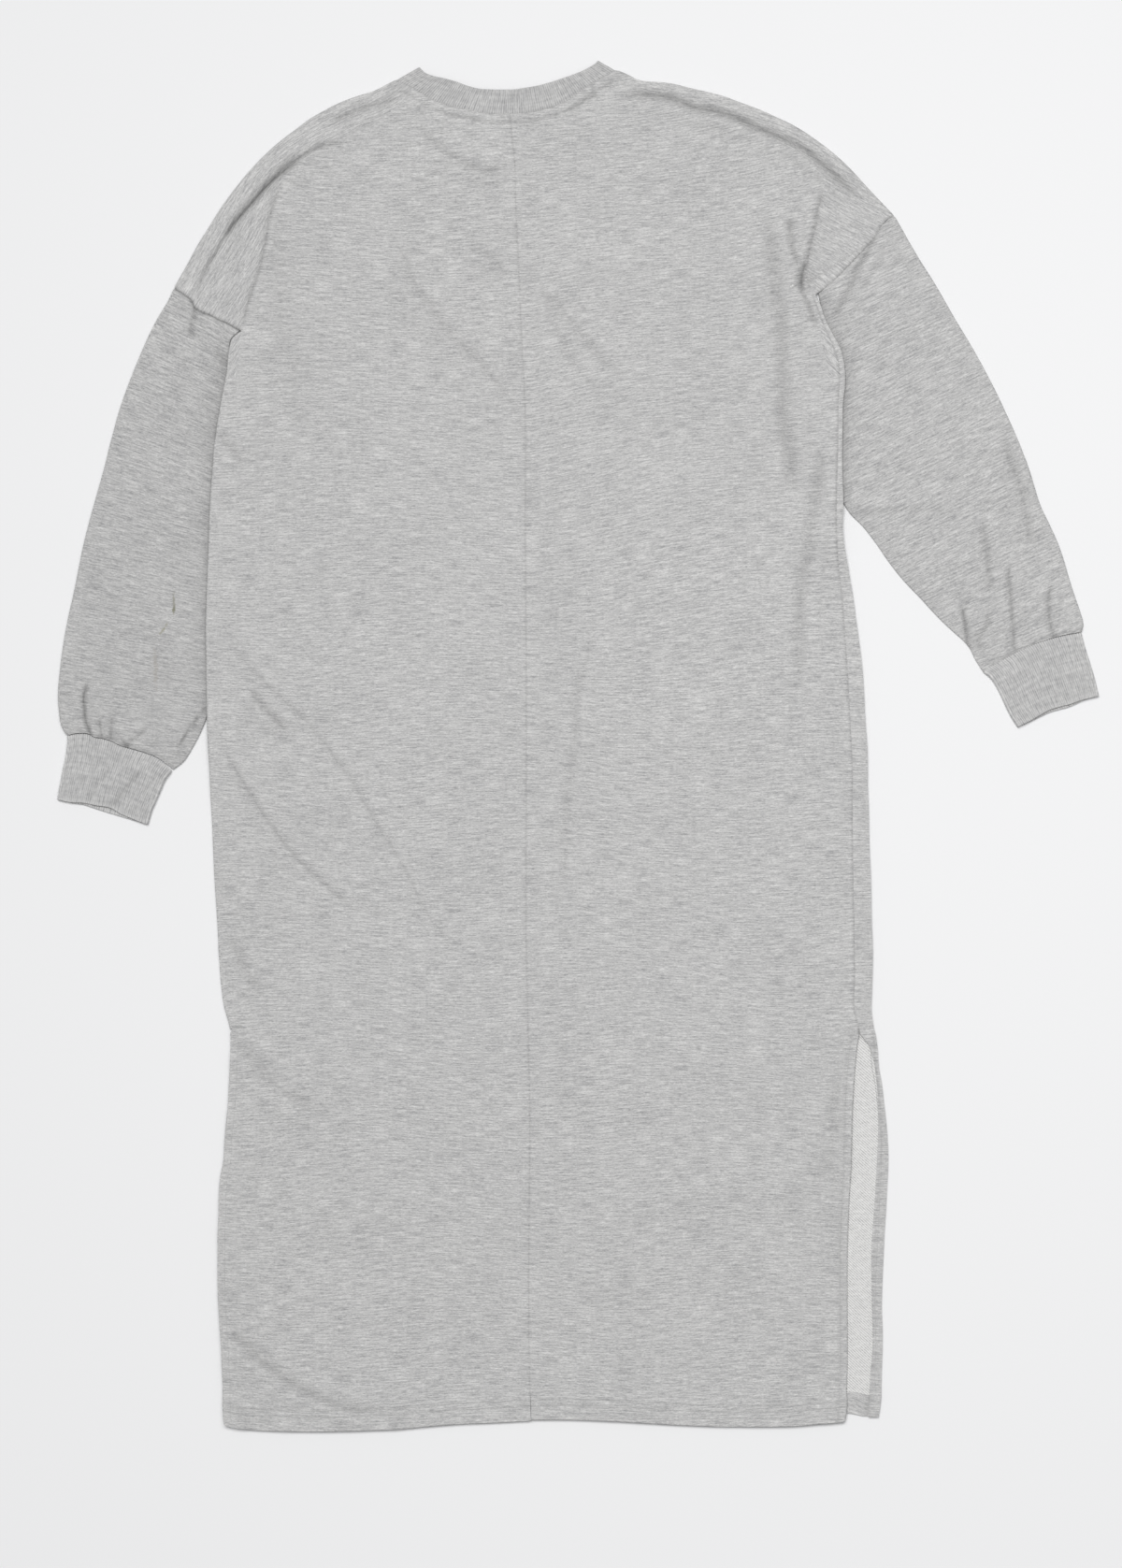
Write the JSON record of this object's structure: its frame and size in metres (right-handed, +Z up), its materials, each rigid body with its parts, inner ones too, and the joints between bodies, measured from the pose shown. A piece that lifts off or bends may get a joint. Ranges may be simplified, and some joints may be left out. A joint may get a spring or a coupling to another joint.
{
  "type": "jumper dress",
  "caption": "Long jumper dress of loop-back jersey, laid flat with its back up: dropped long sleeves, ribbed cuffs and neck band, open side slits.",
  "frame": {"origin": "centre of the bounding box, at the floor that the dress lies on", "axes": "+Y from the hem to the neck, +Z up from the floor through the front and then the back, +X to the right as seen from above"},
  "size_m": [0.9289, 1.2243, 0.0078],
  "materials": {
    "jersey": "matt marled jersey",
    "rib": "matt marled 1x1 rib"
  },
  "bodies": {
    "root": {"front": "jersey", "back_left": "jersey", "back_right": "jersey", "sleeve_left": "jersey", "sleeve_right": "jersey", "cuff_left": "rib", "cuff_right": "rib", "neck_rib": "rib"}
  },
  "joints": []
}
